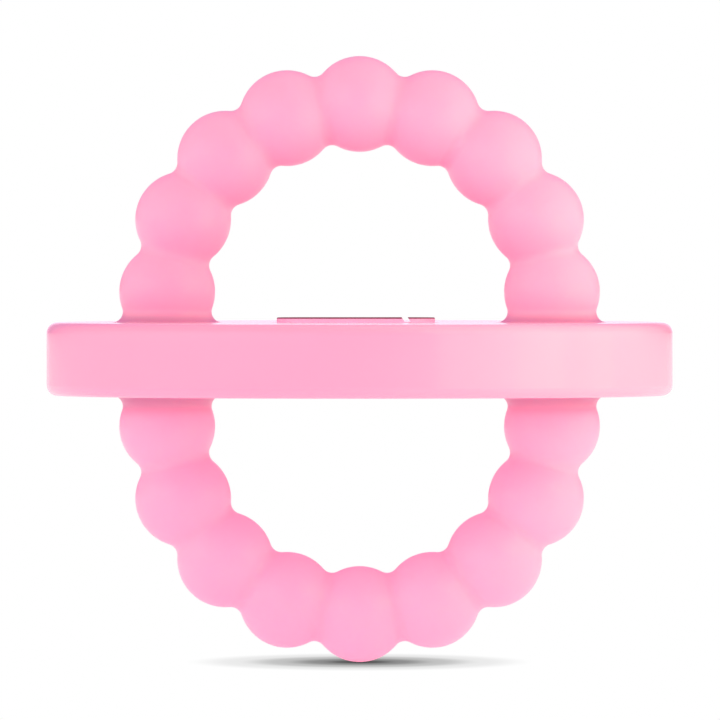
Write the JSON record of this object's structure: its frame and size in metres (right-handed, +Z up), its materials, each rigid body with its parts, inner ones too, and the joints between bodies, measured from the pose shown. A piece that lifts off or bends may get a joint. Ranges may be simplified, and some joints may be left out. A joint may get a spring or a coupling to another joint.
{
  "type": "teether",
  "caption": "Silicone teether: a flat round guard with a half-ring of blended beads standing above it and another below it, to grip and to chew.",
  "frame": {"origin": "centre of the round guard, which is also the centre of the whole object's box", "axes": "+Z up through the middle of both bead loops, square to the guard's faces; X across the loops from the left legs (-X) to the right legs (+X); both loops lie in the XZ plane, and -Y is the front"},
  "size_m": [0.076, 0.076, 0.0736],
  "materials": {
    "loop_silicone": "satin",
    "guard_silicone": "semi-gloss",
    "inlay_silicone": "satin",
    "core_plastic": "matte"
  },
  "bodies": {
    "root": {"guard_cover": "guard_silicone", "guard_body": "guard_silicone", "core_plate": "core_plastic", "top_inlay": "inlay_silicone", "upper_bead_loop": "loop_silicone", "lower_bead_loop": "loop_silicone", "left_anchor_pin": "core_plastic", "right_anchor_pin": "core_plastic"}
  },
  "joints": []
}
